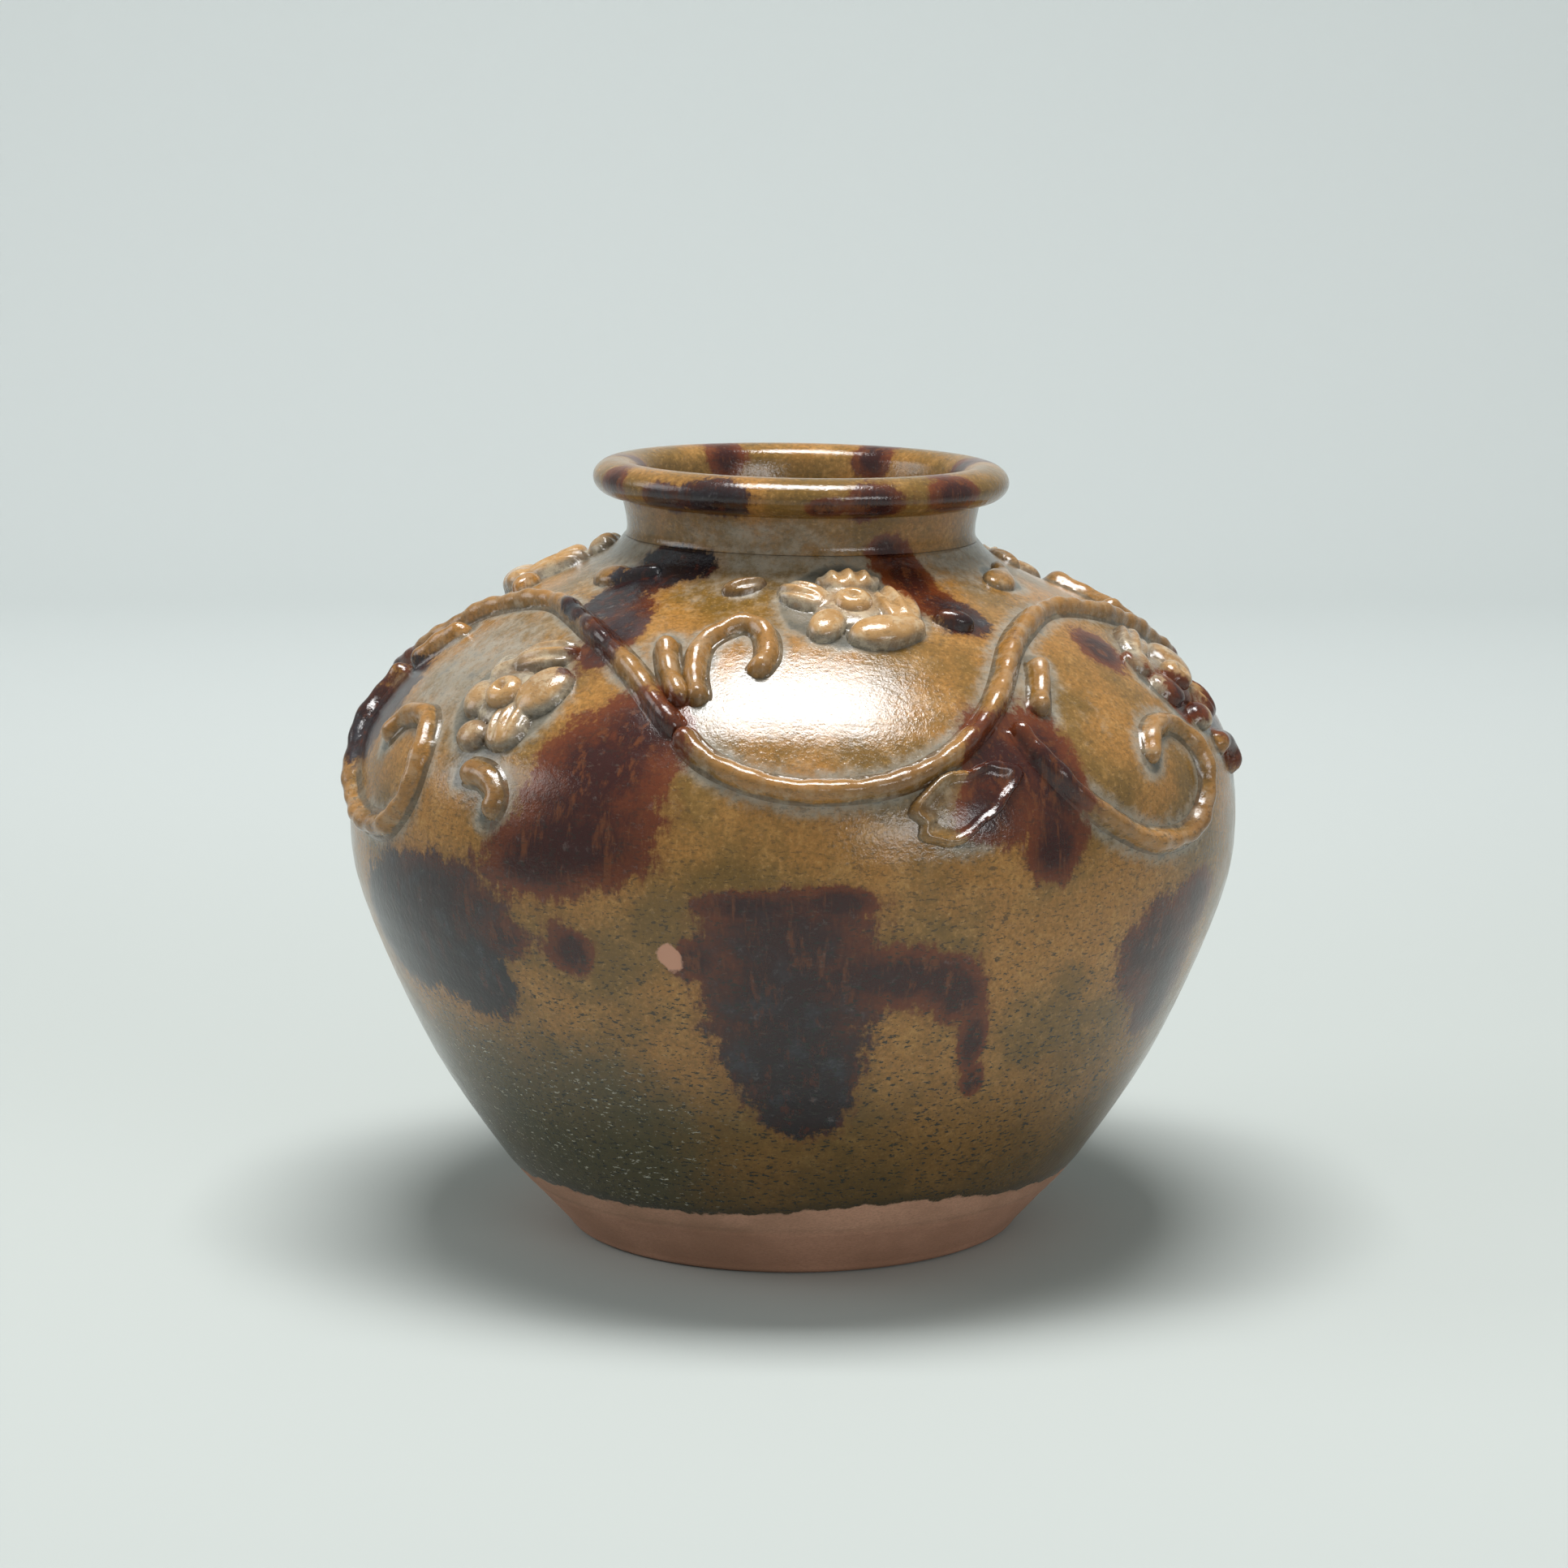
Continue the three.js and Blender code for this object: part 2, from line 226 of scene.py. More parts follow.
def patch_distance(points, at, level, half_width, half_height):
    """Distance from the middle of an oval patch on the jar, as a share of its half size."""
    off = (azimuth_of(points) - at + 180) % 360 - 180
    return np.hypot(off / half_width, (points[..., 2] - level) / half_height)


def splash_fields(points):
    """How far inside a splash each point is, from -1 to 1, and how dark that splash is."""
    within = np.full(len(points), -1.0)
    dark = np.zeros(len(points))
    weight = np.full(len(points), 1e-6)
    for *patch, depth in SPLASHES:
        near = 1 - patch_distance(points, *patch)
        joined = 0.25 * np.clip(1 - np.abs(within - near) / 0.5, 0, 1) ** 2
        within = np.maximum(within, near) + joined
        share = np.clip(near + 0.6, 0, None) ** 2
        dark += share * depth
        weight += share
    return np.clip(within, -1, 1), dark / weight


def add_mesh(name, points, faces, bare, milk_and_crease_shade, crest=None):
    """A smooth mesh object from points in millimetres, with the values that its glaze reads."""
    mesh = bpy.data.meshes.new(name)
    mesh.from_pydata((points * MM).tolist(), [], faces)
    mesh.polygons.foreach_set("use_smooth", [True] * len(mesh.polygons))
    mesh.set_sharp_from_angle(angle=math.radians(50))
    within, dark = splash_fields(points)
    fields = {"splash": within, "dark": dark, "bare": bare, "milk_and_crease_shade": milk_and_crease_shade}
    if crest is not None:
        fields["crest"] = crest
    for label, values in fields.items():
        layer = mesh.attributes.new(label, "FLOAT", "POINT")
        layer.data.foreach_set("value", (values + np.zeros(len(points))).astype(np.float32))
    mesh.validate()
    piece = bpy.data.objects.new(name, mesh)
    scene.collection.objects.link(piece)
    return piece


def linear(hex_colour):
    """A linear RGBA colour from an sRGB hex value."""
    parts = [int(hex_colour[i:i + 2], 16) / 255 for i in (1, 3, 5)]
    return [c / 12.92 if c <= 0.04045 else ((c + 0.055) / 1.055) ** 2.4 for c in parts] + [1]


def node(tree, kind, inputs=(), **settings):
    """Adds one node with its settings, sets or links its inputs, and gives its outputs."""
    made = tree.nodes.new("ShaderNode" + kind)
    for key, value in settings.items():
        setattr(made, key, value)
    for key, value in inputs.items() if isinstance(inputs, dict) else enumerate(inputs):
        if isinstance(value, bpy.types.NodeSocket):
            tree.links.new(value, made.inputs[key])
        else:
            made.inputs[key].default_value = value
    return made.outputs


SMOOTH = {"interpolation_type": "SMOOTHSTEP"}
COLOUR = {"data_type": "RGBA"}
TIMES = {"operation": "MULTIPLY"}
TIMES_PLUS = {"operation": "MULTIPLY_ADD"}


def material_tree(name):
    material = bpy.data.materials.new(name)
    material.use_nodes = True
    material.node_tree.nodes.clear()
    return material, material.node_tree


def glazed_stoneware(name, applied):
    """Amber ash glaze over stoneware, fired glossy; applied is true on the luted sprigs."""
    material, tree = material_tree(name)
    place = node(tree, "TexCoord")["Object"]
    spot = node(tree, "SeparateXYZ", [place])
    height = spot["Z"]
    run_down = node(tree, "VectorMath", (place, (1, 1, 0.16)), **TIMES)[0]
    turned = node(tree, "VectorMath", (place, (1, 1, 2.6)), **TIMES)[0]
    # The size of each pattern is in millimetres. The specks and flecks are finer on the real
    # jar, and are drawn a little coarse so that they show.
    cloud, blotch, streak, grain, milk, fleck, speck, clay_grain = [
        node(tree, "TexNoise", {
            "Vector": vector, "Scale": 1 / (size * MM), "Detail": detail, "Roughness": rough,
        })["Fac"]
        for vector, size, detail, rough in (
            (place, 30, 3, 0.55), (place, 8, 4, 0.65), (run_down, 3, 4, 0.7), (place, 1.2, 3, 0.7),
            (place, 4, 5, 0.7), (turned, 2.2, 4, 0.7), (turned, 1.9, 3, 0.65), (turned, 0.9, 4, 0.7),
        )
    ]
    splash, dark, bare, milk_and_crease_shade = [
        node(tree, "Attribute", attribute_name=label)["Fac"]
        for label in ("splash", "dark", "bare", "milk_and_crease_shade")
    ]

    # Grey-green low on the left, where the fire was short of air, and the pale flecks in it
    low = node(tree, "MapRange", (height, 0.09, 0.045), **SMOOTH)["Result"]
    left = node(tree, "MapRange", (spot["X"], 0, -0.05), **SMOOTH)["Result"]
    low_left = node(tree, "Math", (left, 0.9, low), **TIMES_PLUS)[0]
    low_left = node(tree, "Math", (blotch, 0.9, low_left), **TIMES_PLUS)[0]
    green = node(tree, "MapRange", (low_left, 1.5, 2.2, 0, 0.75), **SMOOTH)["Result"]
    flecked = node(tree, "MapRange", (fleck, 0.60, 0.67), **SMOOTH)["Result"]
    flecks_here = node(tree, "Math", (green, 0.9, 0.05), **TIMES_PLUS)[0]
    pale = node(tree, "Math", (flecked, flecks_here), **TIMES)[0]

    # How deep in a splash, with an edge that is ragged and ran down, and how thick the iron is
    depth = node(tree, "Math", (streak, 0.7, splash), **TIMES_PLUS)[0]
    depth = node(tree, "Math", (blotch, 0.6, depth), **TIMES_PLUS)[0]
    depth = node(tree, "Math", (grain, 0.3, depth), **TIMES_PLUS)[0]
    depth = node(tree, "Math", (depth, 0.15), operation="SUBTRACT")[0]
    thick = node(tree, "Math", (blotch, 0.5, dark), **TIMES_PLUS)[0]

    # Iron specks, drawn out along the turning lines, most of them low on the body
    specks = node(tree, "MapRange", (speck, 0.575, 0.615, 0, 0.95), **SMOOTH)["Result"]
    specks_here = node(tree, "MapRange", (height, 0.15, 0.07, 0.25, 1), **SMOOTH)["Result"]
    specks = node(tree, "Math", (specks, specks_here), **TIMES)[0]

    # The wavy lower edge of the glaze, and the rim where it gathered just above the bare clay
    wavy = node(tree, "Math", (blotch, 5.5, bare), **TIMES_PLUS)[0]
    wavy = node(tree, "Math", (wavy, 2.75), operation="SUBTRACT")[0]
    is_bare = node(tree, "MapRange", (wavy, -0.3, 0.5), **SMOOTH)["Result"]
    rim = node(tree, "MapRange", (wavy, -3.5, -0.3), **SMOOTH)["Result"]
    at_foot = node(tree, "MapRange", (height, 0.08, 0.05), **SMOOTH)["Result"]
    glazed_foot = node(tree, "Math", (at_foot, is_bare), operation="SUBTRACT")[0]
    rim = node(tree, "Math", (rim, glazed_foot), **TIMES)[0]
    rim = node(tree, "Math", (rim, 0.6), **TIMES)[0]

    # Coats of colour, in the order they lie: what is under, what goes over it, and the value
    # that says how much. Where three numbers follow, the coat begins at the value's first
    # mark, is full at the second, and covers no more than the third.
    # Painted shade: the glaze is drawn darker towards the foot, where the belly shades it
    foot_shade_height = node(tree, "Math", (blotch, 0.03, height), **TIMES_PLUS)[0]
    pooled = node(tree, "Math", (blotch, 0.8, milk_and_crease_shade), **TIMES_PLUS)[0]
    veiled = node(tree, "Math", (milk, 1.6, milk_and_crease_shade), **TIMES_PLUS)[0]
    deep = node(tree, "Math", (milk_and_crease_shade, blotch), **TIMES)[0]
    coats = [
        # Amber where the glaze is thin, olive in broad clouds, painted shade darkening it towards the
        # foot under the belly, and grey-green
        ("glaze", "#705427", cloud, 0.38, 0.62, 1),
        ("glaze", "#AA8046", blotch, 0.45, 0.72, 0.5),
        ("glaze", "#604A24", grain, 0.42, 0.66, 0.5),
        ("glaze", "#B8925A", grain, 0.44, 0.30, 0.35),
        ("glaze", "#4C3A1D", foot_shade_height, 0.105, 0.03, 0.85),
        ("glaze", "#3C3E2C", green),
        # Milky where it pooled, on the upper shoulder, at the neck and round the sprigs, with painted
        # shade in the crease right beside them
        ("glaze", "#6E6A5C", pooled, 0.75, 1.5, 0.6),
        ("glaze", "#9F998C", veiled, 1.1, 2.0, 0.7),
        ("glaze", "#3C4242", deep, 0.42, 0.62, 0.6),
        # Painted shade in the crease right beside the sprigs, where this value is near 1
        ("glaze", "#45453D", milk_and_crease_shade, 0.86, 1.0, 0.5),
    ]
    if applied:
        crest = node(tree, "Attribute", attribute_name="crest")["Fac"]
        thin = node(tree, "Math", (blotch, 0.35, crest), **TIMES_PLUS)[0]
        on_flower = node(tree, "MapRange", (milk_and_crease_shade, 0.5, 0.8, 0.12, 0.45), **SMOOTH)["Result"]
        milky = node(tree, "MapRange", (milk, 0.46, 0.66), **SMOOTH)["Result"]
        milky = node(tree, "Math", (milky, on_flower), **TIMES)[0]
        coats += [
            # Painted shade beside the crests, at the foot of each sprig, warm amber where it ran off
            # them, and milky on the flowers
            # Painted shade where the crest is low, at the foot of each sprig
            ("glaze", "#48473F", crest, 0.4, 0.02, 0.7),
            ("crest", "#BA8B4E", milk_and_crease_shade, 0.5, 0.8, 1),
            ("glaze", "crest", thin, 0.6, 1.05, 0.65),
            ("glaze", "#64401F", cloud, 0.5, 0.66, 0.45),
            ("glaze", "#C6B698", milky),
        ]
    coats += [
        # Red-brown where the iron is thin, and blue-black where it is thick
        ("iron", "#341511", depth, 0.85, 1.3, 1),
        ("iron", "#6E3D1E", streak, 0.50, 0.66, 0.6),
        ("thick_iron", "#3C4046", blotch, 0.48, 0.7, 0.5),
        ("thick_iron", "#4E261A", streak, 0.53, 0.66, 0.6),
        ("iron", "thick_iron", thick, 0.62, 1.2, 1),
        ("iron", "#857B76", milk, 0.60, 0.74, 0.28),
        ("glaze", "#6B431F", depth, 0.52, 0.76, 0.4),
        ("glaze", "iron", depth, 0.68, 0.86, 1),
        # Blackish specks and pale flecks
        ("glaze", "#242620", specks),
        ("glaze", "#B9B6A6", pale),
        # Pinkish dry clay at the foot, and paler in the chip, where the glaze came off
        ("clay", "#C4967C", cloud, 0.35, 0.65, 1),
        ("clay", "#8C6953", clay_grain, 0.35, 0.75, 0.6),
        ("clay", "#B07A62", height, 0.0155, 0.0135, 0.25),
        ("clay", "#BE8E76", height, 0.06, 0.09, 1),
        ("glaze", "#2E2A1E", rim),
        ("glaze", "clay", is_bare),
    ]
    colours = {
        "glaze": linear("#9B6D35"), "crest": linear("#966C3C"), "iron": linear("#5E2D16"),
        "thick_iron": linear("#1E181B"), "clay": linear("#A87F66"),
    }
    for under, over, share, *marks in coats:
        if marks:
            start, end, most = marks
            share = node(tree, "MapRange", (share, start, end, 0, most), **SMOOTH)["Result"]
        over = colours[over] if over in colours else linear(over)
        colours[under] = node(tree, "Mix", {0: share, 6: colours[under], 7: over}, **COLOUR)[2]

    # The glaze has an orange-peel skin and is glossy, less so on the flecks; bare clay is matt
    skin = node(tree, "Math", (blotch, 0.8), **TIMES)[0]
    skin = node(tree, "Math", (grain, 0.55, skin), **TIMES_PLUS)[0]
    bump = node(tree, "Bump", {"Strength": 0.3, "Distance": 0.6 * MM, "Height": skin})["Normal"]
    worn = node(tree, "Math", (pale, 0.5, blotch), **TIMES_PLUS)[0]
    gloss = node(tree, "MapRange", (worn, 0.3, 0.95, 0.10, 0.30), **SMOOTH)["Result"]
    shader = node(tree, "BsdfPrincipled", {
        "Base Color": colours["glaze"],
        "Roughness": node(tree, "Math", (is_bare, 0.6, gloss), **TIMES_PLUS)[0],
        "IOR": 1.52,
        "Normal": bump,
    })["BSDF"]
    node(tree, "OutputMaterial", {"Surface": shader})
    return material


# Azimuth, height, half width in degrees and half height of the slanting chip in the glaze
CHIP = (-15, 97, 1.8, 5)


def bare_field(points):
    """Millimetres below the lower edge of the glaze; positive is bare clay, as in the chip."""
    azimuth, height = azimuth_of(points), points[:, 2]
    at, level, half_width, half_height = CHIP
    across = azimuth - at + 0.12 * (height - level)
    chip = 3 - 4 * np.hypot(across / half_width, (height - level) / half_height)
    under = np.hypot(points[:, 0], points[:, 1]) < BASE - 1
    return np.where(under, 30 - height * 4, np.maximum(glaze_edge(azimuth) - height, chip))


outer = outside(0, SEAM + LUTING)
inner = inside(np.linspace(SEAM, FLOOR + 12, 24), BODY_WALL)
points, faces = turned_skin([
    (0, 0), (20, 0), (45, 0), (BASE - 1.2, 0), (BASE - 0.3, 0.3),
    *outer[1:],
    (outer[-1, 0] - BODY_WALL, SEAM + LUTING),
    *inner[1:],
    (inner[-1, 0] - 4, FLOOR + 3), (inner[-1, 0] - 14, FLOOR), (20, FLOOR), (0, FLOOR),
], BODY_SIDES)
lower_body = add_mesh("thrown_lower_body", points, faces, bare_field(points), 0.0)
body_glaze = glazed_stoneware("ash_glazed_stoneware", False)
lower_body.data.materials.append(body_glaze)
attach(lower_body, "root")
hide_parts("lower_body")

# Shoulder: the thrown upper half, luted on with slip at a seam just under the widest point.
# It wears the same glaze, which pooled milky round the scroll. The scroll repeats three
# times, and its places are in degrees round the jar and millimetres up.
SHOULDER_WALL = 5.5
NECK_WALL = 5.6
MILKY_REACH = 7
MILKY_STEP = 3
ALL_GLAZED = -20.0
PATH_POINTS = 30
SPRAYS = {"front": 0, "right": 120, "left": 240}
# Path, width and rise of each hand-rolled coil
COILS = {
    "main_vine": ([(-16, 150), (-11, 144), (-4, 139.5), (3, 138), (12, 139.5), (20, 145), (28, 154),
                   (38, 166), (48, 171), (60, 173), (72, 171.5), (84, 167.5), (93, 162), (99, 156),
                   (103.7, 150.3)], 6, 4.2),
    "hook_branch": ([(-14.5, 156.5), (-16.8, 163), (-17, 169), (-12, 172.5), (-7, 171.5),
                     (-5.5, 167), (-7, 163)], 6, 4),
    "free_stem": ([(-24, 168.5), (-20.5, 162), (-17, 156.5)], 6, 4.2),
    "curl_branch": ([(31, 151), (33, 143), (37, 134), (43, 125), (50, 119), (58, 119), (63, 126),
                     (64.5, 134), (63.5, 141), (60, 146), (55, 145), (52, 139)], 6, 4),
    "cut_stem": ([(42, 163.5), (39, 158.5), (36, 153)], 6, 4.2),
    "comma_leaf": ([(74, 137), (78, 136.5), (80.5, 132.5), (80, 127.5)], 6.5, 3.2),
}
# Place, half width, half length and turn of each pressed sprig
SPRIGS = {
    "upper_flower": ((11.5, 176.5), 20.5, 21.5, 0),
    "upper_flower_bead": ((11.5, 176.5), 5.6, 5.6, 0),
    "lower_flower": ((74, 153.5), 19, 20.5, 0),
    "lower_flower_bead": ((74, 153.5), 5.6, 5.6, 0),
    "seed_pod": ((32, 173), 6.5, 4, -35),
    "broad_leaf": ((21, 134.5), 17.5, 10, 25),
    "flame_leaf": ((66, 180), 11, 6, 12),
    "small_leaf": ((-15, 180.5), 7, 4, 30),
}
# Azimuth, height, half width in degrees, half height and strength of the milky patches
MILKY = [(-58, 158, 26, 20, 0.85), (2, 160, 16, 14, 0.6), (-22, 140, 12, 16, 0.5),
         (45, 150, 12, 12, 0.35), (150, 160, 30, 18, 0.6), (240, 158, 26, 18, 0.7)]


def on_surface(azimuth, height, rise):
    """Points on the outside of the leaning jar, lifted off it by rise."""
    radius, out, up = at_height(height)
    return lean(around(radius + rise * up, azimuth, height - rise * out))


def smooth_path(path, step):
    """Points about step apart on a smooth curve along a path, and how far along each one is."""
    path = np.array(path, float)
    padded = np.vstack([2 * path[0] - path[1], path, 2 * path[-1] - path[-2]])
    share = np.linspace(0, 1, PATH_POINTS, endpoint=False)[:, None]
    spans = [
        0.5 * (2 * b + (c - a) * share + (2 * a - 5 * b + 4 * c - d) * share ** 2
               + (3 * b - a - 3 * c + d) * share ** 3)
        for a, b, c, d in zip(padded, padded[1:], padded[2:], padded[3:])
    ]
    dense = np.vstack(spans + [path[-1:]])
    placed = on_surface(dense[:, 0], dense[:, 1], 0)
    run = np.concatenate([[0], np.cumsum(np.linalg.norm(np.diff(placed, axis=0), axis=1))])
    marks = np.linspace(0, run[-1], max(8, int(run[-1] / step)))
    return np.stack([np.interp(marks, run, dense[:, i]) for i in (0, 1)], -1), marks


def milk_and_crease_shade_field(points):
    """Strength of the milky glaze: round the scroll, up to the neck and in a few patches. Close to 1,
    right beside the sprigs, it also sets painted shade in the crease.
    """
    spots = []
    for turn in SPRAYS.values():
        for path, width, _ in COILS.values():
            line, _ = smooth_path(path, MILKY_STEP)
            spots += [(spot, width / 2) for spot in on_surface(line[:, 0] + turn, line[:, 1], 0)]
        for (at, level), half_width, half_length, _ in SPRIGS.values():
            middle = on_surface(np.array([at + turn]), np.array([level]), 0)[0]
            spots.append((middle, (half_width + half_length) / 2 - 3))
    zone = np.where(points[:, 2] > SEAM + 2)[0]
    near = np.zeros(len(points))
    for spot, size in spots:
        far = np.linalg.norm(points[zone] - spot, axis=1) - size
        near[zone] = np.maximum(near[zone], np.clip(1 - far / MILKY_REACH, 0, 1))
    near = np.maximum(near, 0.8 * np.clip((points[:, 2] - 168) / 18, 0, 1))
    for *patch, most in MILKY:
        near = np.maximum(near, most * np.clip(1.3 - patch_distance(points, *patch), 0, 1))
    return near


outer = outside(SEAM + LUTING, NECK_JOINT + LUTING)
neck_bore = NECK - NECK_WALL
points, faces = turned_skin([
    *outer,
    (neck_bore, NECK_JOINT + LUTING),
    *inside(np.linspace(NECK_JOINT - 6, SEAM + 4, 26), SHOULDER_WALL),
    (outer[0, 0] - BODY_WALL, SEAM + LUTING),
], BODY_SIDES)
shoulder = add_mesh("thrown_shoulder", points, faces, ALL_GLAZED, milk_and_crease_shade_field(points))
shoulder.data.materials.append(body_glaze)
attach(shoulder, "root")
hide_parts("shoulder")

# Neck and lip: a short thrown collar luted on top, a little off the middle. Its rim was
# folded outwards into a round roll about 10 mm thick, and it wears the same glaze.
LIP = 55.8
LIP_TOP = 208.4
LIP_ROLL = 10
NECK_SIDES = 480
lip_bottom = LIP_TOP - LIP_ROLL
lip_middle = (LIP + neck_bore + 0.7) / 2
collar_height = lip_bottom - 0.6 - NECK_JOINT - LUTING
collar = [
    (NECK - 1.1 * (1 - math.exp(-(h - NECK_JOINT) / 1.1)) + 0.04 * (h - NECK_JOINT) ** 1.6, h)
    for h in NECK_JOINT + LUTING + collar_height * np.linspace(0, 1, 22) ** 2
]
roll = [
    (lip_middle + (LIP - lip_middle) * math.cos(math.radians(angle)),
     lip_bottom + LIP_ROLL / 2 * (1 + math.sin(math.radians(angle))))
    for angle in range(-62, 176, 7)
]
bore = [(neck_bore, h) for h in np.linspace(lip_bottom, NECK_JOINT + LUTING, 8)]
points, faces = turned_skin(collar + roll + bore, NECK_SIDES)
below_lip = np.clip((lip_bottom + 1.5 - points[:, 2]) / 4, 0, 1)
milky_sides = 0.42 + 0.28 * np.sin(np.radians(azimuth_of(points)) * 3 + 2.2)
neck = add_mesh("thrown_neck_and_lip", points, faces, ALL_GLAZED, below_lip * milky_sides)
neck.data.materials.append(body_glaze)
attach(neck, "root")
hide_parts("neck_and_lip")

# Vine, branches, stems and comma leaf: coils of clay rolled by hand to about 6 mm, laid on
# the shoulder and pressed down with slip, then glazed over with the jar. The glaze leaves a
# soft fillet along both their sides.
SUNK = 0.9
COIL_STEP = 0.7
COIL_COLUMNS = 27
FILLET_REACH = 1.6
COIL_POOL = 0.45


def closed_sheet(name, top, bottom, crest, milk_and_crease_shade):
    """A closed piece from a grid of points on top and a grid under it."""
    rows, columns = top.shape[:2]
    count = rows * columns
    faces = lattice_faces(rows, columns)
    faces += [tuple(count + k for k in reversed(face)) for face in faces]
    rim = [
        *range(columns - 1),
        *(i * columns + columns - 1 for i in range(rows - 1)),
        *((rows - 1) * columns + j for j in range(columns - 1, 0, -1)),
        *(i * columns for i in range(rows - 1, 0, -1)),
    ]
    faces += [(a, a + count, b + count, b) for a, b in zip(rim, rim[1:] + rim[:1])]
    points = np.concatenate([top.reshape(-1, 3), bottom.reshape(-1, 3)])
    crest = np.concatenate([crest.ravel(), np.zeros(count)])
    return add_mesh(name, points, faces, ALL_GLAZED, milk_and_crease_shade, crest)


def rolled_coil(name, path, width, rise):
    """A coil of clay pressed on along a path, thinned to both its ends."""
    line, marks = smooth_path(path, COIL_STEP)
    azimuth, height = line.T
    radius, _, up = at_height(height)
    along = np.stack([np.gradient(azimuth) * np.pi / 180 * radius,
                      np.gradient(height) / np.maximum(up, 0.2)], -1)
    along /= np.linalg.norm(along, axis=1)[:, None]
    half = width / 2
    across = np.linspace(-1, 1, COIL_COLUMNS)[None]
    side = across * (half + FILLET_REACH)
    end = np.clip(np.minimum(marks, marks[-1] - marks) / half, 0, 1)
    full = np.sqrt(1 - (1 - end) ** 2)[:, None]
    wander = (1 + 0.07 * np.sin(marks * 0.31 + len(name)) + 0.04 * np.sin(marks * 0.83))[:, None]
    round_top = np.clip(1 - (side / (half * wander * (0.35 + 0.65 * full))) ** 2, 0, 1) ** 0.6
    body = rise * wander * (0.3 + 0.7 * full) * round_top
    fillet = 0.9 * np.exp(-np.clip(np.abs(side) - half, 0, None) ** 2 / 0.5) * full
    top_rise = np.maximum(body, fillet) - 0.25 - 0.65 * (np.abs(across) > 0.97) - 0.5 * (1 - full)
    push = np.where(marks < marks[-1] / 2, -0.8, 0.8)[:, None] * (1 - full)
    high = height[:, None] + (-along[:, :1] * side + along[:, 1:] * push) * up[:, None]
    shift = along[:, 1:] * side + along[:, :1] * push
    turn = azimuth[:, None] + np.degrees(shift / at_height(high)[0])
    bottom = on_surface(turn, high, -SUNK - 0.6)
    return closed_sheet(name, on_surface(turn, high, top_rise), bottom, body / rise, COIL_POOL)


sprig_glaze = glazed_stoneware("ash_glazed_sprig_clay", True)
for spray, azimuth in SPRAYS.items():
    for kind, (path, width, rise) in COILS.items():
        turned_path = [(at + azimuth, level) for at, level in path]
        piece = rolled_coil(f"{spray}_{kind}_clay", turned_path, width, rise)
        piece.data.materials.append(sprig_glaze)
        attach(piece, "root")
        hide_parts(f"{spray}_{kind}")

# Flowers, beads, pod and leaves: sprigs of clay shaped by hand, stuck on with slip between
# the coils and glazed over with the jar. Petals are plump pellets, some with pressed flutes,
# and a bead with a pit in it sits in the middle of each flower.
SPRIG_STEP = 0.45
FLOWER_POOL = 0.85
BEAD_RADIUS = 5
LEAF_HALF_LENGTH = 16
LEAF_HALF_WIDTH = 8
VALLEY = 2.2
# Place in the flower, length, width, turn, rise and number of flutes of each petal
PETALS = {
    "upper_flower": [
        ((1, 12.2), 11, 17, 90, 4.4, 4), ((11.5, -1.5), 20, 12, 100, 4.8, 3),
        ((5.5, -13.5), 19, 13, 8, 5.2, 0), ((12.5, -12), 9, 9, 40, 4.6, 0),
        ((-11.5, 5), 14, 12, 150, 4.0, 3), ((-8.5, -9.5), 14, 9, 60, 4.4, 0),
        ((0, 0), 20, 20, 0, 2.8, 0),
    ],
    "lower_flower": [
        ((1, 13.8), 19, 10, 18, 3.6, 3), ((10.5, 3.2), 16, 14, 80, 4.4, 0),
        ((7, -9.5), 15, 13, 105, 4.0, 4), ((-3, -13.5), 10, 10, 70, 3.5, 0),
        ((-9.5, -2), 10, 12, 20, 3.3, 0), ((-8.5, 8), 10, 11, 40, 2.9, 2),
        ((0, 0), 18, 18, 0, 2.4, 0),
    ],
    "seed_pod": [((0, 0), 11, 6, 0, 3.8, 0)],
    "flame_leaf": [((-3, 0), 14, 8.5, 0, 2.8, 0), ((5, 1.5), 13, 5, 20, 2.2, 0)],
    "small_leaf": [((0, 0), 12, 6.5, 0, 2.8, 2)],
}


def petal(u, v, at, length, width, turn, rise, flutes):
    """Height of one plump petal over the jar; flutes are the grooves pressed along it."""
    cos, sin = math.cos(math.radians(turn)), math.sin(math.radians(turn))
    a = ((u - at[0]) * cos + (v - at[1]) * sin) / (length / 2)
    b = (-(u - at[0]) * sin + (v - at[1]) * cos) / (width / 2)
    far = a * a + b * b
    groove = 0.15 * (1 - np.cos(b * math.pi * flutes)) * np.clip(a + 0.9, 0, 1)
    dome = np.sqrt(np.clip(1 - far, 0, 1))
    return np.where(far < 1, rise * (dome ** 0.75 - groove * dome ** 0.3), -3 * (np.sqrt(far) - 1))


def bead(u, v):
    """A round pellet with a pit pressed in its middle."""
    far = np.hypot(u, v) / BEAD_RADIUS
    dome = 2.4 + 3.2 * np.sqrt(np.clip(1 - far ** 2, 0, 1)) - 2.0 * np.exp(-(far / 0.3) ** 2)
    return np.where(far < 1, dome, 1.2)


def lobed_leaf(u, v):
    """A thin leaf with three lobes and a raised rim."""
    u, v = u / LEAF_HALF_LENGTH, v / LEAF_HALF_WIDTH
    angle = np.arctan2(v, u)
    far = np.hypot(u, v) / (1 + 0.12 * np.cos(3 * angle) + 0.05 * np.cos(7 * angle + 1))
    rim = 1.5 * np.exp(-((far - 0.86) / 0.13) ** 2)
    return np.where(far < 1, 0.9 + rim, rim - 4 * (far - 1)) - 0.15


def sprig_height(kind, u, v):
    """Height of a sprig over the jar; its petals run together with a soft valley between."""
    if kind.endswith("bead"):
        return bead(u, v)
    if kind == "broad_leaf":
        return lobed_leaf(u, v)
    heights = np.stack([petal(u, v, *shape) for shape in PETALS[kind]])
    if len(heights) == 1:
        return heights[0]
    return np.log(np.exp(heights * VALLEY).sum(axis=0)) / VALLEY


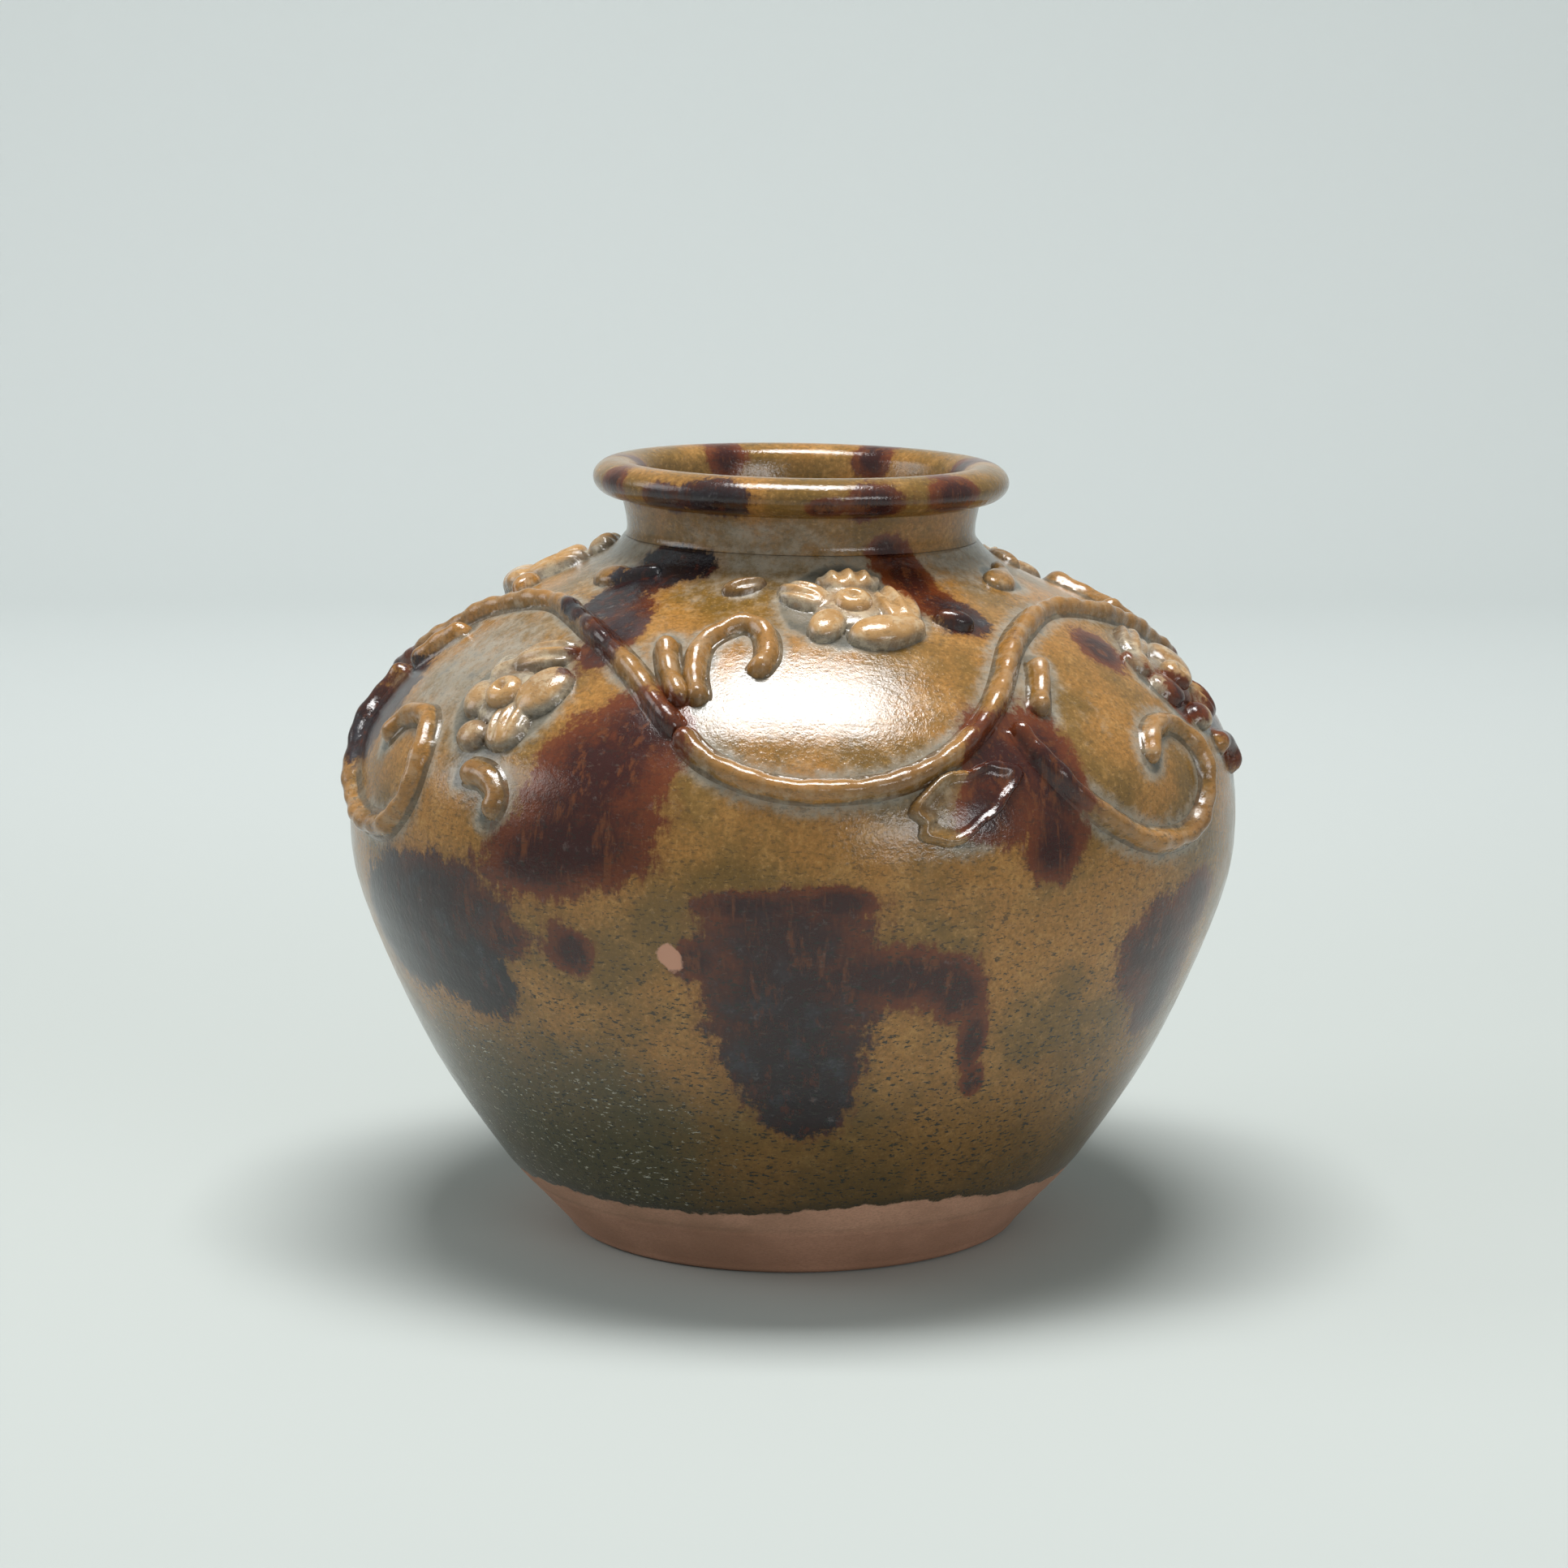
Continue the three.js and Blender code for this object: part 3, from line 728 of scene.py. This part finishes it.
def pressed_sprig(name, kind, azimuth, milk_and_crease_shade):
    """A sprig pressed on the shoulder at its place in the spray."""
    (at, level), half_width, half_length, turn = SPRIGS[kind]
    u, v = np.meshgrid(np.linspace(-half_width, half_width, int(2 * half_width / SPRIG_STEP)),
                       np.linspace(-half_length, half_length, int(2 * half_length / SPRIG_STEP)))
    rise = sprig_height(kind, u, v)
    cos, sin = math.cos(math.radians(turn)), math.sin(math.radians(turn))
    high = np.minimum(level + (u * sin + v * cos) * at_height(level)[2], NECK_JOINT)
    turned = at + azimuth + np.degrees((u * cos - v * sin) / at_height(high)[0])
    top = on_surface(turned, high, np.maximum(rise, -SUNK))
    bottom = on_surface(turned, high, -SUNK - 0.8)
    return closed_sheet(name, top, bottom, np.clip(rise / 4, 0, 1), milk_and_crease_shade)


for spray, azimuth in SPRAYS.items():
    for kind in SPRIGS:
        milk_and_crease_shade = FLOWER_POOL if "flower" in kind else COIL_POOL
        piece = pressed_sprig(f"{spray}_{kind}_clay", kind, azimuth, milk_and_crease_shade)
        piece.data.materials.append(sprig_glaze)
        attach(piece, "root")
        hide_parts(f"{spray}_{kind}")

# Sweep: the photograph's pale matt paper, laid flat under the jar and curved up behind it.
# It is painted a little brighter to the back and glows faintly there, as painted light for the
# studio's light falling on it. In metres.
SWEEP_FRONT = -3.0
SWEEP_BACK = 1.3
SWEEP_RISE = 0.55
SWEEP_TOP = 3.0
SWEEP_HALF = 4
profile = [(SWEEP_FRONT, 0), (SWEEP_BACK, 0)]
profile += [(SWEEP_BACK + SWEEP_RISE * math.sin(angle), SWEEP_RISE * (1 - math.cos(angle)))
            for angle in np.linspace(0.1, math.pi / 2, 16)]
profile += [(SWEEP_BACK + SWEEP_RISE, SWEEP_TOP)]
sweep_mesh = bpy.data.meshes.new("sweep")
sweep_points = [(x, y, z) for y, z in profile for x in (-SWEEP_HALF, SWEEP_HALF)]
sweep_mesh.from_pydata(sweep_points, [], lattice_faces(len(profile), 2))
sweep_mesh.polygons.foreach_set("use_smooth", [True] * len(sweep_mesh.polygons))
paper, tree = material_tree("pale_paper")
spot = node(tree, "SeparateXYZ", [node(tree, "TexCoord")["Object"]])
away = node(tree, "Math", (spot["Y"], spot["Z"]), operation="ADD")[0]
# Painted light: the paper's colour brightens towards the back
painted_light = node(tree, "MapRange", (away, 0.1, 1.3), **SMOOTH)["Result"]
shader = node(tree, "BsdfPrincipled", {
    "Base Color": node(tree, "Mix", {0: painted_light, 6: linear("#B2B7B4"), 7: linear("#E4E9E8")}, **COLOUR)[2],
    "Roughness": 0.9,
    "Specular IOR Level": 0.1,
    # Painted light: a faint glow towards the back
    "Emission Color": linear("#F2FAFA"),
    "Emission Strength": node(tree, "MapRange", (away, 0.1, 1.6, 0, 0.02), **SMOOTH)["Result"],
})["BSDF"]
node(tree, "OutputMaterial", {"Surface": shader})
sweep_mesh.materials.append(paper)
sweep = bpy.data.objects.new("sweep", sweep_mesh)
scene.collection.objects.link(sweep)

# Lights: a broad soft box overhead, a low strip at the front right and a soft box on the
# left, whose reflections show in the glaze, and a pale room that fills the shadows.
for name, across, deep, place, aim, power in (
    ("overhead", 0.72, 0.42, (0.0, -0.06, 1.35), 0.1, 22),
    ("front_right", 0.7, 0.22, (0.76, -1.2, 0.42), 0.12, 3.6),
    ("left", 1.0, 0.9, (-1.75, 0.0, 0.9), 0.1, 8),
):
    lamp = bpy.data.lights.new(name, "AREA")
    lamp.shape = "RECTANGLE"
    lamp.size = across
    lamp.size_y = deep
    lamp.energy = power
    holder = bpy.data.objects.new(name, lamp)
    holder.location = place
    holder.rotation_euler = (Vector((0, 0, aim)) - Vector(place)).to_track_quat("-Z", "Y").to_euler()
    scene.collection.objects.link(holder)

room = bpy.data.worlds.new("studio")
scene.world = room
room.use_nodes = True
room.node_tree.nodes["Background"].inputs["Color"].default_value = linear("#D6DCDB")
room.node_tree.nodes["Background"].inputs["Strength"].default_value = 0.55

# Camera: a long lens about 1.13 m away, looking down by about 10 degrees at the jar. Its
# distance, height and focal length were fitted to the jar's outline in the photograph.
CAMERA_DISTANCE = 1.131
CAMERA_HEIGHT = 0.3172
CAMERA_PITCH = 9.887
SENSOR = 36
PHOTO_SIZE = 1932
FOCAL_PIXELS = 5201
JAR_CENTRE_PIXEL = 976.5
camera_data = bpy.data.cameras.new("photo_view")
camera_data.sensor_width = SENSOR
camera_data.sensor_fit = "HORIZONTAL"
camera_data.lens = SENSOR * FOCAL_PIXELS / PHOTO_SIZE
camera_data.shift_x = -(JAR_CENTRE_PIXEL - PHOTO_SIZE / 2) / PHOTO_SIZE
camera_data.clip_start = 0.05
camera = bpy.data.objects.new("photo_view", camera_data)
camera.location = (0, -CAMERA_DISTANCE, CAMERA_HEIGHT)
camera.rotation_euler = (math.radians(90 - CAMERA_PITCH), 0, 0)
scene.collection.objects.link(camera)
scene.camera = camera
